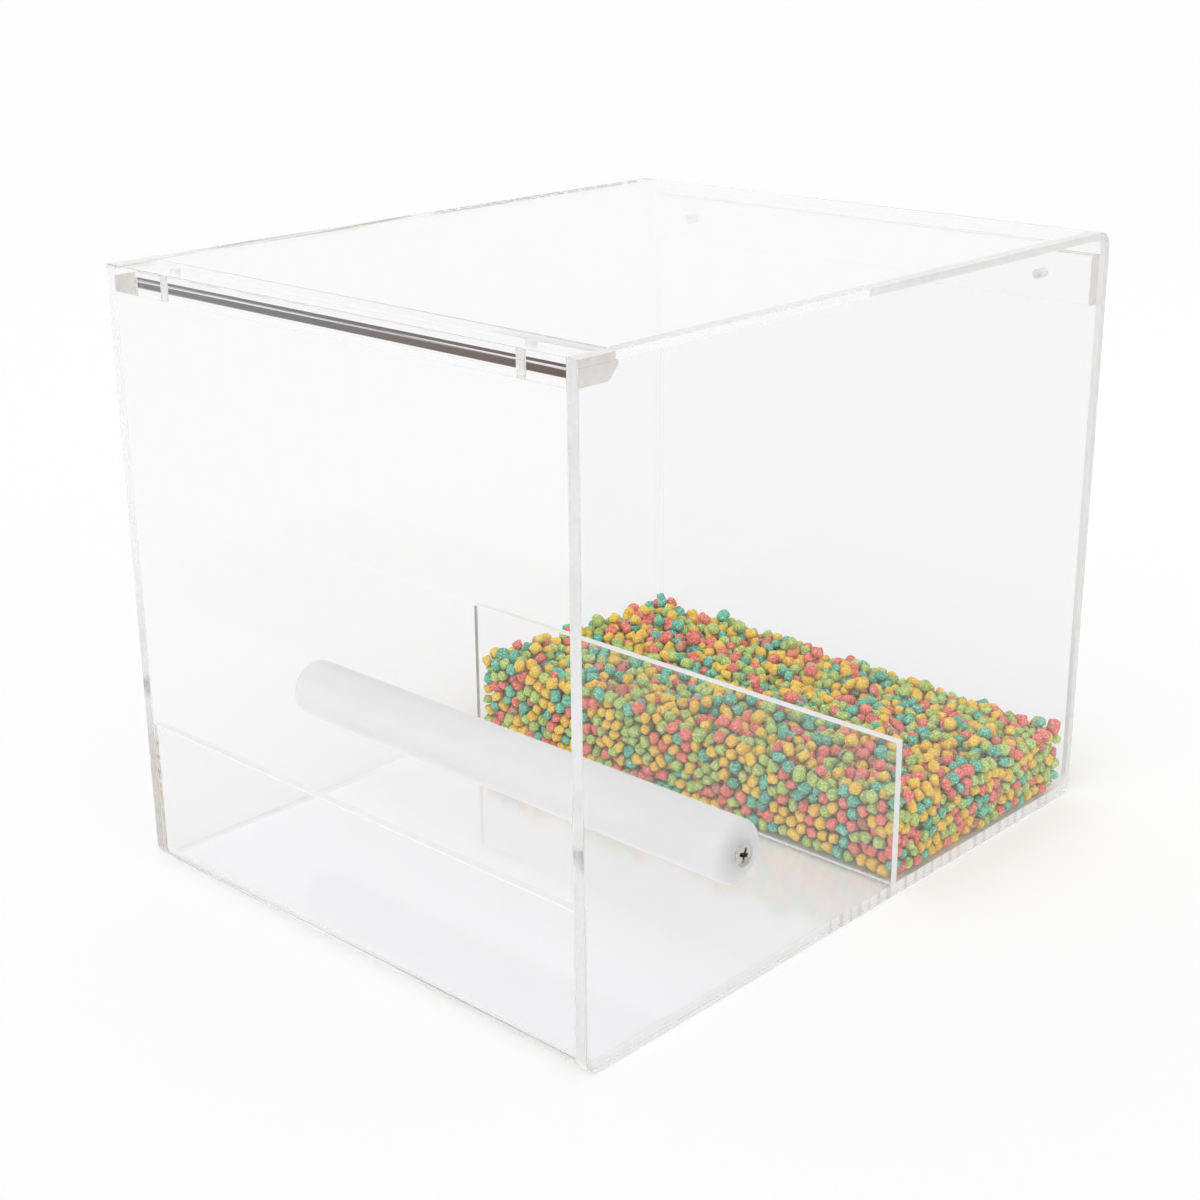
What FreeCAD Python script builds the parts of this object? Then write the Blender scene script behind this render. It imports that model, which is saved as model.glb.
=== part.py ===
import FreeCAD, Part
import math
import os

# Open-fronted feeder box for birds, glued up from clear sheet.
# One bent sheet makes the lip, floor, back and top. Two flat plates close its ends, a divider holds
# the feed back, and a round perch hangs between the plates on two countersunk screws.
# Millimetres. The front faces -Y, +Z is up, and the origin is the middle of the footprint.

# Overall box
box_width = 198.0
box_depth = 250.0
box_height = 200.0

# Bent sheet
wrap_thickness = 3.0
bend_inner_radius = 2.5
lip_height = 50.0

# End plates
side_thickness = 4.0

# Feed divider
divider_thickness = 3.0
divider_height = 50.0
bin_depth = 100.0

# Fastening strips under the top and on the back
strip_thickness = 5.0
strip_width = 16.5
strip_chamfer = 3.5
strip_edge_radius = 1.5
back_strip_drop = 4.5
hole_diameter = 3.2
hole_spacing = 150.0
drill_spare = 2.0

# Perch and its screws
perch_diameter = 20.0
perch_setback = 67.0
perch_axis_height = 43.0
perch_end_radius = 2.0
screw_diameter = 4.0
screw_length = 16.0
screw_point = 0.5
head_diameter = 7.5
head_rim = 0.3
recess_span = 4.4
recess_width = 0.9
recess_depth = 1.5
bore_spare = 1.0

# Clearances
fit_clearance = 0.05
end_play = 0.1
feed_gap = 0.3

# Heap of feed: depths above the floor at its four corners, and how far the middle stands higher
feed_front_left = 32.0
feed_front_right = 29.0
feed_back_left = 28.0
feed_back_right = 23.5
feed_crown = 1.5

# Lumps in the heap's top and sides: how far apart they stand, how far the poles of their smooth face
# reach, the share of that reach that the face comes up to, and how much a lump may be lower than the next
feed_lump_pitch = 22.0
feed_lump_reach = 5.0
feed_lump_rise = 0.75
feed_lump_uneven = 0.4

# Places worked out from the sizes above
front = -box_depth / 2
back = box_depth / 2
bend_outer_radius = bend_inner_radius + wrap_thickness
inner_width = box_width - 2 * side_thickness
inner_back = back - wrap_thickness
top_underside = box_height - wrap_thickness
divider_back = inner_back - bin_depth
perch_y = front + perch_setback
hole_x = (-hole_spacing / 2, hole_spacing / 2)
front_hole_y = front + strip_width / 2
back_strip_top = top_underside - back_strip_drop
back_hole_z = back_strip_top - strip_width / 2
fastening_reach = wrap_thickness + strip_thickness + drill_spare
perch_length = inner_width - 2 * end_play

X_AXIS = FreeCAD.Vector(1, 0, 0)
Y_AXIS = FreeCAD.Vector(0, 1, 0)
Z_AXIS = FreeCAD.Vector(0, 0, 1)


def rounded_outline(corners, x=0.0):
    """Closed wire in a plane of constant x; each corner is (y, z, radius), radius 0 for a sharp one."""
    points = [FreeCAD.Vector(x, y, z) for y, z, _ in corners]
    spans = []
    for i, (_, _, radius) in enumerate(corners):
        to_last = (points[i - 1] - points[i]).normalize()
        to_next = (points[(i + 1) % len(points)] - points[i]).normalize()
        if radius == 0:
            spans.append((points[i], None, points[i]))
            continue
        half = to_last.getAngle(to_next) / 2
        reach = radius / math.tan(half)
        middle = (to_last + to_next).normalize() * (radius / math.sin(half) - radius)
        spans.append((points[i] + to_last * reach, points[i] + middle, points[i] + to_next * reach))
    edges = []
    for i, (start, middle, end) in enumerate(spans):
        if middle is not None:
            edges.append(Part.Arc(start, middle, end).toShape())
        edges.append(Part.LineSegment(end, spans[(i + 1) % len(spans)][0]).toShape())
    return Part.Wire(edges)


def sheet(corners, x_low, x_high):
    """Solid of one outline carried along X."""
    return Part.Face(rounded_outline(corners, x_low)).extrude(X_AXIS * (x_high - x_low))


def turned(outline, side):
    """Solid turned about the perch's axis; outline is (distance in from the plate's face, radius)."""
    face_x = side * box_width / 2
    points = [FreeCAD.Vector(face_x - side * inward, perch_y, perch_axis_height + r) for inward, r in outline]
    axis_point = FreeCAD.Vector(0, perch_y, perch_axis_height)
    return Part.Face(Part.makePolygon(points + points[:1])).revolve(axis_point, X_AXIS, 360)


def drilled(solid, direction, centres):
    """Solid with the fastening holes cut through it, in from the outer faces that hold their centres."""
    for centre in centres:
        start = centre - direction * fastening_reach
        solid = solid.cut(Part.makeCylinder(hole_diameter / 2, 2 * fastening_reach, start, direction))
    return solid


def top_hole_centres():
    return [FreeCAD.Vector(x, front_hole_y, box_height) for x in hole_x]


def back_hole_centres():
    return [FreeCAD.Vector(x, back, back_hole_z) for x in hole_x]


def wrap_sheet():
    """Lip, floor, back and top: one strip of sheet with three bends, drilled for the fastenings."""
    outline = [
        (front, lip_height, 0),
        (front, 0, bend_outer_radius),
        (back, 0, bend_outer_radius),
        (back, box_height, bend_outer_radius),
        (front, box_height, 0),
        (front, top_underside, 0),
        (inner_back, top_underside, bend_inner_radius),
        (inner_back, wrap_thickness, bend_inner_radius),
        (front + wrap_thickness, wrap_thickness, bend_inner_radius),
        (front + wrap_thickness, lip_height, 0),
    ]
    solid = sheet(outline, -inner_width / 2, inner_width / 2)
    solid = drilled(solid, Z_AXIS, top_hole_centres())
    return drilled(solid, Y_AXIS, back_hole_centres())


def side_panel(side):
    """End plate with the bent sheet's outline, countersunk for the perch's screw."""
    outline = [
        (front, 0, bend_outer_radius),
        (back, 0, bend_outer_radius),
        (back, box_height, bend_outer_radius),
        (front, box_height, 0),
    ]
    faces = sorted((side * inner_width / 2, side * box_width / 2))
    return sheet(outline, *faces).cut(turned(screw_seat_outline(), side))


def screw_outline():
    """Countersunk screw from the middle of its head to its point."""
    head = head_diameter / 2
    shank = screw_diameter / 2
    return [
        (0, 0),
        (0, head),
        (head_rim, head),
        (head_rim + head - shank, shank),
        (screw_length - screw_point, shank),
        (screw_length, shank - screw_point),
        (screw_length, 0),
    ]


def screw_seat_outline():
    """Room for the screw in the plate: its head's cone and its shank, with the fit's clearance."""
    head = head_diameter / 2 + fit_clearance
    shank = screw_diameter / 2 + fit_clearance
    return [
        (0, 0),
        (0, head),
        (head_rim, head),
        (head_rim + head - shank, shank),
        (side_thickness, shank),
        (side_thickness, 0),
    ]


def perch_screw(side):
    """Countersunk screw with a cross recess, its head flush with the plate."""
    solid = turned(screw_outline(), side)
    inward = min(side * box_width / 2, side * (box_width / 2 - recess_depth))
    for span_y, span_z in ((recess_span, recess_width), (recess_width, recess_span)):
        corner = FreeCAD.Vector(inward, perch_y - span_y / 2, perch_axis_height - span_z / 2)
        solid = solid.cut(Part.makeBox(recess_depth, span_y, span_z, corner))
    return solid


def perch_rod():
    """Round rod with eased ends, bored at each end for its screw."""
    start = FreeCAD.Vector(-perch_length / 2, perch_y, perch_axis_height)
    rod = Part.makeCylinder(perch_diameter / 2, perch_length, start, X_AXIS)
    rims = [edge for edge in rod.Edges if isinstance(edge.Curve, Part.Circle)]
    rod = rod.makeFillet(perch_end_radius, rims)
    bore_radius = screw_diameter / 2 + fit_clearance
    bore_depth = screw_length + bore_spare
    for side in (-1, 1):
        rod = rod.cut(turned([(0, 0), (0, bore_radius), (bore_depth, bore_radius), (bore_depth, 0)], side))
    return rod


def feed_divider():
    """Upright sheet on the floor between the end plates."""
    foot = wrap_thickness
    outline = [
        (divider_back - divider_thickness, foot, 0),
        (divider_back, foot, 0),
        (divider_back, foot + divider_height, 0),
        (divider_back - divider_thickness, foot + divider_height, 0),
    ]
    return sheet(outline, -inner_width / 2, inner_width / 2)


def front_strip():
    """Flat strip under the top's front edge, bevelled below at the rear, with two holes down through it."""
    low = top_underside - strip_thickness
    rear = front + strip_width
    outline = [
        (front, low, 0),
        (rear - strip_chamfer, low, 0),
        (rear, low + strip_chamfer, 0),
        (rear, top_underside, 0),
        (front, top_underside, 0),
    ]
    return drilled(sheet(outline, -inner_width / 2, inner_width / 2), Z_AXIS, top_hole_centres())


def back_strip():
    """Flat strip across the back wall's inside, its free edges eased, with two holes through it."""
    low = back_strip_top - strip_width
    outline = [
        (inner_back - strip_thickness, low, strip_edge_radius),
        (inner_back, low, 0),
        (inner_back, back_strip_top, 0),
        (inner_back - strip_thickness, back_strip_top, strip_edge_radius),
    ]
    return drilled(sheet(outline, -inner_width / 2, inner_width / 2), Y_AXIS, back_hole_centres())


def feed_depth(across, along):
    """Depth of the heap at shares of the way from the left plate to the right and from front to back."""
    left = feed_front_left + (feed_back_left - feed_front_left) * along
    right = feed_front_right + (feed_back_right - feed_front_right) * along
    crown = feed_crown * (math.sin(math.pi * across) + math.sin(math.pi * along))
    return left + (right - left) * across + crown


def lump_share(u, v):
    """Share of a full lump at a place on a face: rounded lumps in staggered rows, no two alike in height."""
    row = round(v / feed_lump_pitch)
    along_row = u - (row % 2) * feed_lump_pitch / 2
    column = round(along_row / feed_lump_pitch)
    height = 1 - feed_lump_uneven * math.sin(row + 2 * column) ** 2
    waves = math.cos(math.pi * along_row / feed_lump_pitch) * math.cos(math.pi * v / feed_lump_pitch)
    return height * waves ** 2


def lump_stations(span):
    """Places a quarter of a lump apart that cover a span and stand out past both its ends."""
    first, last = span
    step = feed_lump_pitch / 4
    return [first + i * step for i in range(-3, math.ceil((last - first) / step) + 4)]


def behind_lumps(outer_point, u_span, v_span, inward):
    """Solid behind one smooth lumpy face, a cubic one whose highest lumps come up to its outer points."""
    u_stations = lump_stations(u_span)
    v_stations = lump_stations(v_span)
    poles = []
    for u in u_stations:
        depths = [feed_lump_reach * (feed_lump_rise - lump_share(u, v)) for v in v_stations]
        poles.append([outer_point(u, v) + inward * depth for v, depth in zip(v_stations, depths)])
    knots = []
    repeats = []
    for count in (len(u_stations), len(v_stations)):
        knots.append(list(range(count - 2)))
        repeats.append([4] + [1] * (count - 4) + [4])
    surface = Part.BSplineSurface()
    surface.buildFromPolesMultsKnots(poles, *repeats, *knots, False, False, 3, 3)
    return surface.toShape().extrude(inward * (box_width + box_depth))


def feed_pellets():
    """The heap of feed behind the divider as one solid: it slopes, is crowned, and is lumpy all round."""
    half_width = inner_width / 2 - feed_gap
    low = wrap_thickness
    high = low + divider_height
    near = divider_back + feed_gap
    far = inner_back - bend_inner_radius

    def top_point(x, y):
        depth = feed_depth((x + half_width) / (2 * half_width), (y - near) / (far - near))
        return FreeCAD.Vector(x, y, low + depth + feed_lump_reach / 2)

    across = (-half_width, half_width)
    along = (near, far)
    upward = (low, high)
    faces = [
        (top_point, across, along, -Z_AXIS),
        (lambda x, z: FreeCAD.Vector(x, near, z), across, upward, Y_AXIS),
        (lambda x, z: FreeCAD.Vector(x, far, z), across, upward, -Y_AXIS),
        (lambda y, z: FreeCAD.Vector(-half_width, y, z), along, upward, X_AXIS),
        (lambda y, z: FreeCAD.Vector(half_width, y, z), along, upward, -X_AXIS),
    ]
    corner = FreeCAD.Vector(-half_width, near, low)
    heap = Part.makeBox(2 * half_width, far - near, high - low, corner)
    for face in faces:
        heap = heap.common(behind_lumps(*face))
    return heap


def main():
    pieces = {
        "wrap_sheet": wrap_sheet(),
        "side_panel_left": side_panel(-1),
        "side_panel_right": side_panel(1),
        "feed_divider": feed_divider(),
        "front_strip": front_strip(),
        "back_strip": back_strip(),
        "perch_rod": perch_rod(),
        "perch_screw_left": perch_screw(-1),
        "perch_screw_right": perch_screw(1),
        "feed_pellets": feed_pellets(),
    }
    os.makedirs("parts", exist_ok=True)
    for node, shape in pieces.items():
        print("%-18s valid %s solids %d volume %.1f" % (node, shape.isValid(), len(shape.Solids), shape.Volume))
        shape.exportStep("parts/%s.step" % node)


main()
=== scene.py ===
import math
import bmesh
import bpy
import numpy as np
from mathutils import Matrix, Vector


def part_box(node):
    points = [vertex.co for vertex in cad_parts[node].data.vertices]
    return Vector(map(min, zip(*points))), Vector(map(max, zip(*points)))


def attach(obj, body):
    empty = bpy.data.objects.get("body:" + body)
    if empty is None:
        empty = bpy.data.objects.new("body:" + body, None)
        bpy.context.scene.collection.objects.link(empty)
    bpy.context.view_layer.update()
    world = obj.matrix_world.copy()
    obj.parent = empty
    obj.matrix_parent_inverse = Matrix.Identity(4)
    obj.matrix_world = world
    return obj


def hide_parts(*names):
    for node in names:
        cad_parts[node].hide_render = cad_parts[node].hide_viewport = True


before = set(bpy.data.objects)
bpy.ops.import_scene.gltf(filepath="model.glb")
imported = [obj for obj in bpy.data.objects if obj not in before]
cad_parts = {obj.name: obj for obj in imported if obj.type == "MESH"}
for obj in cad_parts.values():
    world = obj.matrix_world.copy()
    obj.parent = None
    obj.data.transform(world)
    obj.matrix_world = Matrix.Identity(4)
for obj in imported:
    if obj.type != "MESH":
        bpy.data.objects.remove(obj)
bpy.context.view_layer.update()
mm = 0.001
fullTurn = 2 * math.pi
bondGap = 0.04  # mm of air at glued faces, so that two clear faces never share a place
tightRound = 0.05  # mm, the rounding of an edge that is glued down
faceSlack = 0.01  # mm to either side of a flat face, to pick out its quads
weldReach = 2e-6  # m
crease = 30  # degrees, above which an edge of a sheet shades sharp
print("frame loaded:", len(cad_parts), "nodes")


def boxMm(node):  # lowest and highest corner of a CAD node, in mm
    low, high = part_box(node)
    return np.array(low) / mm, np.array(high) / mm


def sectionOf(node):  # front, back, bottom and top of a CAD node, in mm
    low, high = boxMm(node)
    return low[1], high[1], low[2], high[2]


def aroundAngles(count):
    return np.linspace(0, fullTurn, count, endpoint=False)


def circlePoints(angle):
    return np.stack([np.cos(angle), np.sin(angle)], -1)


# Each corner becomes an arc: its centre lies on the bisector at radius / sin(half angle),
# and the arc sweeps from the tangent point on one side to that on the other.
# One more point a little out along each side keeps the flat beside the arc flat when it is shaded.
def roundedLoop(corners, radii, steps, lead=0.15):
    corners = np.asarray(corners, float)
    radii = np.asarray(radii, float)
    back = np.roll(corners, 1, 0) - corners
    ahead = np.roll(corners, -1, 0) - corners
    back /= np.linalg.norm(back, axis=1)[:, None]
    ahead /= np.linalg.norm(ahead, axis=1)[:, None]
    half = np.arccos(np.clip((back * ahead).sum(1), -1, 1)) / 2
    bisector = (back + ahead) / np.linalg.norm(back + ahead, axis=1)[:, None]
    centre = corners + bisector * (radii / np.sin(half))[:, None]
    first = corners + back * (radii / np.tan(half))[:, None] - centre
    last = corners + ahead * (radii / np.tan(half))[:, None] - centre
    begin = np.arctan2(first[:, 1], first[:, 0])
    sweep = (np.arctan2(last[:, 1], last[:, 0]) - begin + math.pi) % fullTurn - math.pi
    angle = begin[:, None] + sweep[:, None] * np.linspace(0, 1, steps)
    arc = centre[:, None] + radii[:, None, None] * circlePoints(angle)
    before = arc[:, :1] + back[:, None] * lead
    after = arc[:, -1:] + ahead[:, None] * lead
    return np.concatenate([before, arc, after], 1).reshape(-1, 2)


# Each new point goes in on the run of the loop that it lies nearest to.
def addPoints(loop, points):
    for point in np.asarray(points, float):
        run = np.roll(loop, -1, 0) - loop
        size = np.maximum((run ** 2).sum(1), 1e-9)
        share = np.clip(((point - loop) * run).sum(1) / size, 0, 1)
        miss = np.linalg.norm(loop + share[:, None] * run - point, axis=1)
        loop = np.insert(loop, np.argmin(miss) + 1, point, axis=0)
    return loop


# Rings of points, one to a row: each cell between two rings is a quad, and every ring closes on itself.
# A patch is its points, its faces in blocks of the same corner count, and a finish slot for each face.
def ringPatch(points, slot=0):
    rows, cols = points.shape[:2]
    row = np.arange(rows - 1)[:, None] * cols
    col = np.arange(cols)[None, :]
    ahead = (col + 1) % cols
    corners = np.broadcast_arrays(row + col, row + cols + col, row + cols + ahead, row + ahead)
    quads = np.stack(corners, -1).reshape(-1, 4)
    return points.reshape(-1, 3), [quads], np.broadcast_to(slot, len(quads)).tolist()


# Flat faces inside a loop of points: each cut, from one point to another, takes off the part between them.
def capPatch(points, slots=(0,), cuts=()):
    rest = list(range(len(points)))
    faces = []
    for ends in cuts:
        first, last = (int(np.argmin(np.linalg.norm(points[rest, 1:] - end, axis=1))) for end in ends)
        faces.append(rest[first:last + 1])
        rest = rest[:first + 1] + rest[last:]
    return points, [np.array([face]) for face in faces + [rest]], list(slots)


# Surface turned about the x axis through (y, z): x and radius by row, or by row and angle.
def turnedPoints(x, radius, angle, y, z):
    return np.stack(np.broadcast_arrays(x, y + radius * np.cos(angle), z + radius * np.sin(angle)), -1)


def weldMesh(mesh):
    work = bmesh.new()
    work.from_mesh(mesh)
    bmesh.ops.remove_doubles(work, verts=work.verts, dist=weldReach)
    bmesh.ops.recalc_face_normals(work, faces=work.faces)
    work.to_mesh(mesh)
    work.free()


def newMesh(name, patches):
    places = np.concatenate([points for points, blocks, slots in patches]) * mm
    faces, finishSlots, start = [], [], 0
    for points, blocks, slots in patches:
        for block in blocks:
            faces += (block + start).tolist()
        finishSlots += slots
        start += len(points)
    mesh = bpy.data.meshes.new(name)
    mesh.from_pydata(places.tolist(), [], faces)
    mesh.polygons.foreach_set("material_index", finishSlots)
    weldMesh(mesh)
    return mesh


def softenMesh(mesh, sharp):  # smooth shading that breaks at edges sharper than this many degrees
    mesh.shade_smooth()
    mesh.set_sharp_from_angle(angle=math.radians(sharp))


def newPiece(name, mesh, finishes, body, nodes=(), sharp=crease):
    piece = bpy.data.objects.new(name, mesh)
    bpy.context.scene.collection.objects.link(piece)
    for finish in finishes:
        mesh.materials.append(finish)
    softenMesh(mesh, sharp)
    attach(piece, body)
    if nodes:
        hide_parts(*nodes)
    return piece


# Two noises on Object coordinates: a fine grain and wide patches, both about 0.5 in the middle.
noises = {"detail": {"Grain": 3.0, "Patches": 2.0}, "roughness": 0.6, "grainSpan": (0.3, 0.7),
          "patchSpan": (0.35, 0.65)}


def noiseGroup():
    group = bpy.data.node_groups.new("grainAndPatches", "ShaderNodeTree")
    for name in noises["detail"]:
        group.interface.new_socket(name + " Scale", in_out="INPUT", socket_type="NodeSocketFloat")
        group.interface.new_socket(name, in_out="OUTPUT", socket_type="NodeSocketFloat")
    start = group.nodes.new("NodeGroupInput")
    end = group.nodes.new("NodeGroupOutput")
    place = group.nodes.new("ShaderNodeTexCoord")
    for name, detail in noises["detail"].items():
        noise = group.nodes.new("ShaderNodeTexNoise")
        noise.inputs["Detail"].default_value = detail
        noise.inputs["Roughness"].default_value = noises["roughness"]
        group.links.new(place.outputs["Object"], noise.inputs["Vector"])
        group.links.new(start.outputs[name + " Scale"], noise.inputs["Scale"])
        group.links.new(noise.outputs["Fac"], end.inputs[name])
    return group


grainAndPatches = noiseGroup()


def newFinish(name, sockets):
    finish = bpy.data.materials.new(name)
    finish.use_nodes = True
    shader = finish.node_tree.nodes["Principled BSDF"]
    for socket, value in sockets.items():
        shader.inputs[socket].default_value = value
    return finish, finish.node_tree, shader


def addNoises(tree, scales):  # the outputs of grain and of patches
    node = tree.nodes.new("ShaderNodeGroup")
    node.node_tree = grainAndPatches
    node.inputs["Grain Scale"].default_value, node.inputs["Patches Scale"].default_value = scales
    return node.outputs["Grain"], node.outputs["Patches"]


def mapValue(tree, source, span, onto=(0, 1), smooth=False):
    node = tree.nodes.new("ShaderNodeMapRange")
    for socket, value in zip(("From Min", "From Max", "To Min", "To Max"), (*span, *onto)):
        node.inputs[socket].default_value = value
    if smooth:
        node.interpolation_type = "SMOOTHSTEP"
    tree.links.new(source, node.inputs["Value"])
    return node.outputs["Result"]


def joinValues(tree, operation, first, second):
    node = tree.nodes.new("ShaderNodeMath")
    node.operation = operation
    tree.links.new(first, node.inputs[0])
    tree.links.new(second, node.inputs[1])
    return node.outputs[0]


def mixColours(tree, amount, first, second):
    node = tree.nodes.new("ShaderNodeMix")
    node.data_type = "RGBA"
    tree.links.new(amount, node.inputs["Factor"])
    for name, value in (("A", first), ("B", second)):
        target = [socket for socket in node.inputs if socket.name == name and socket.type == "RGBA"][0]
        if hasattr(value, "is_linked"):
            tree.links.new(value, target)
        else:
            target.default_value = (*value, 1)
    return [socket for socket in node.outputs if socket.type == "RGBA"][0]


def setColour(tree, shader, amount, first, second):
    tree.links.new(mixColours(tree, amount, first, second), shader.inputs["Base Color"])


def setRoughness(tree, shader, source, span, roughness):
    tree.links.new(mapValue(tree, source, span, roughness), shader.inputs["Roughness"])


def addBump(tree, shader, height, bump):  # bump is a strength and a distance in mm
    node = tree.nodes.new("ShaderNodeBump")
    node.inputs["Strength"].default_value = bump[0]
    node.inputs["Distance"].default_value = bump[1] * mm
    tree.links.new(height, node.inputs["Height"])
    tree.links.new(node.outputs["Normal"], shader.inputs["Normal"])


def srgb(*levels):  # screen levels 0 to 255 to linear light
    level = np.array(levels) / 255
    return tuple(np.where(level <= 0.04045, level / 12.92, ((level + 0.055) / 1.055) ** 2.4).tolist())


# Finishes: scales are those of grain and patches, and tones the two colours that patches blend
plasticIndex = 1.49
clearSheet = {"scales": (900, 14), "handled": (0.45, 0.75)}
clearWall = {"tint": (0.962, 0.962, 0.966), "gleam": 0.15, "clear": 1.0, "polish": (0.0, 0.05)}
clearFloor = {"tint": (0.994, 0.994, 0.999), "gleam": 1.0, "clear": 1.0, "polish": (0.05, 0.09)}
clearDusty = {"tint": (0.985, 0.985, 0.988), "gleam": 0.30, "clear": 0.975, "polish": (0.0, 0.05)}
matteScales = (1600, 220)
sawnEdge = {"tones": ((0.91, 0.89, 0.86), (0.96, 0.95, 0.93)), "clear": 0.55, "roughness": (0.35, 0.60),
            "bump": (0.5, 0.15)}
sawnStrip = {"tones": ((0.74, 0.70, 0.65), (0.82, 0.79, 0.74)), "clear": 0.35, "roughness": (0.35, 0.60),
             "bump": (0.5, 0.15)}
sandedEdge = {"tones": ((0.92, 0.91, 0.88), (0.96, 0.96, 0.95)), "clear": 0.40, "roughness": (0.30, 0.50),
              "bump": (0.2, 0.15)}
whiteEdge = {"tones": ((0.92, 0.915, 0.895), (0.95, 0.95, 0.94)), "clear": 0.12, "roughness": (0.40, 0.60),
             "bump": (0.2, 0.15)}
polishedEdge = {"scales": (700, 24), "tones": ((0.90, 0.90, 0.93), (0.96, 0.96, 0.98)),
                "roughness": (0.10, 0.20)}
rodSkin = {"scales": (2500, 60), "bump": (0.15, 0.05), "bloomRoughness": 0.5}
frostedRod = {"tones": ((0.72, 0.72, 0.725), (0.77, 0.77, 0.775)), "bloom": 0.80, "depth": 6.0,
              "roughness": (0.30, 0.40)}
cutRodEnd = {"tones": ((0.71, 0.71, 0.715), (0.75, 0.75, 0.755)), "bloom": 0.3, "depth": 1.5,
             "roughness": (0.35, 0.45)}
steelScales = (3000, 700)
screwSteel = {"tones": ((0.50, 0.47, 0.43), (0.66, 0.64, 0.60)), "roughness": (0.22, 0.42)}
# dark tones for the screw's cross: painted shade for the shade that falls in it
screwCrossPaintedShade = {"tones": ((0.07, 0.055, 0.045), (0.16, 0.13, 0.10)), "roughness": (0.50, 0.70)}


# Clear sheet: polished, with faint patches of handling that blur it a little. The floor of the box
# mirrors most and is rubbed all over, and the divider has a film of dust from the feed.
def clearFinish(name, face):
    gleam = face["gleam"]
    finish, tree, shader = newFinish(name, {
        "Base Color": (*face["tint"], 1), "IOR": plasticIndex, "Transmission Weight": face["clear"],
        "Specular Tint": (gleam, gleam, gleam, 1)})
    patches = addNoises(tree, clearSheet["scales"])[1]
    setRoughness(tree, shader, patches, clearSheet["handled"], face["polish"])
    return finish


# Sawn or drilled face of the same sheet: matte, in two tones by patches, with fine tooth marks.
# A sanded or scraped edge is the same face made paler and finer.
def matteFinish(name, face):
    finish, tree, shader = newFinish(name, {"IOR": plasticIndex, "Transmission Weight": face["clear"]})
    grain, patches = addNoises(tree, matteScales)
    setColour(tree, shader, mapValue(tree, patches, noises["patchSpan"]), *face["tones"])
    setRoughness(tree, shader, grain, noises["grainSpan"], face["roughness"])
    addBump(tree, shader, grain, face["bump"])
    return finish


# Plate edge: sanded and flame polished, so a little wavy and greyer than the faces
def edgeFinish(name, face):
    finish, tree, shader = newFinish(name, {"IOR": plasticIndex, "Transmission Weight": 1.0})
    grain, patches = addNoises(tree, face["scales"])
    setColour(tree, shader, mapValue(tree, patches, noises["patchSpan"]), *face["tones"])
    setRoughness(tree, shader, grain, noises["grainSpan"], face["roughness"])
    return finish


# Frosted rod: milky plastic that lets light through and scatters it
def rodFinish(name, face):
    finish, tree, shader = newFinish(name, {
        "IOR": plasticIndex, "Subsurface Weight": 1.0, "Subsurface Scale": face["depth"] * mm,
        "Subsurface Radius": (1.0, 1.0, 1.0), "Sheen Weight": face["bloom"],
        "Sheen Roughness": rodSkin["bloomRoughness"]})
    grain, patches = addNoises(tree, rodSkin["scales"])
    setColour(tree, shader, patches, *face["tones"])
    setRoughness(tree, shader, grain, noises["grainSpan"], face["roughness"])
    addBump(tree, shader, grain, rodSkin["bump"])
    return finish


# Screw steel, bright on the head; the cross gets a dark finish that is painted shade
def steelFinish(name, face):
    finish, tree, shader = newFinish(name, {"Metallic": 1.0})
    grain, patches = addNoises(tree, steelScales)
    setColour(tree, shader, patches, *face["tones"])
    setRoughness(tree, shader, grain, noises["grainSpan"], face["roughness"])
    return finish


# Glued face: the cement joins two polished faces, so light goes straight on across it
gluedSockets = {"Base Color": (1, 1, 1, 1), "IOR": 1.0, "Roughness": 0.0, "Transmission Weight": 1.0}

sheetFinishes = {
    "clear": clearFinish("clearAcrylic", clearWall),
    "sawn": matteFinish("sawnAcrylic", sawnEdge),
    "glued": newFinish("gluedFace", gluedSockets)[0],
    "edge": edgeFinish("polishedEdge", polishedEdge),
    "sanded": matteFinish("sandedAcrylic", sandedEdge),
    "floor": clearFinish("clearAcrylicFloor", clearFloor),
    "sawnEnd": matteFinish("sawnStripEnd", sawnStrip),
    "scraped": matteFinish("scrapedAcrylic", whiteEdge),
}
slotOf = {name: slot for slot, name in enumerate(sheetFinishes)}
dustyFinishes = {**sheetFinishes, "clear": clearFinish("clearAcrylicDusty", clearDusty)}
rodFinishes = [rodFinish("frostedPlastic", frostedRod), rodFinish("frostedPlasticEnd", cutRodEnd)]
screwFinishes = [steelFinish("stainlessSteel", screwSteel), steelFinish("stainlessSteelPaintedShade", screwCrossPaintedShade)]
print("finishes ready")


# Bar across the box: a loop in (y, z) carried along x, with flat caps a bond gap short of the node's ends.
# Sides that lie inside one of the zones, (finish, y0, z0, y1, z1), get that finish.
def barPiece(name, node, loop, zones, ends, cuts=(), finishes=sheetFinishes):
    low, high = boxMm(node)
    rows = np.empty((2, len(loop), 3))
    rows[..., 0] = np.array([low[0] + bondGap, high[0] - bondGap])[:, None]
    rows[..., 1:] = loop
    y, z = ((loop + np.roll(loop, -1, 0)) / 2).T
    slots = np.zeros(len(loop), int)
    for finish, y0, z0, y1, z1 in zones:
        slots[(y > y0) & (y < y1) & (z > z0) & (z < z1)] = slotOf[finish]
    left, right = ([slotOf[finish] for finish in end] for end in ends)
    caps = [capPatch(rows[0], left, cuts), capPatch(rows[1], right, cuts)]
    mesh = newMesh(name, [ringPatch(rows, slots)] + caps)
    return newPiece(name, mesh, finishes.values(), "housing", [node])


def levelZone(finish, y0, y1, z):
    return finish, y0, z - faceSlack, y1, z + faceSlack


def uprightZone(finish, y, z0, z1):
    return finish, y - faceSlack, z0, y + faceSlack, z1


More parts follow.
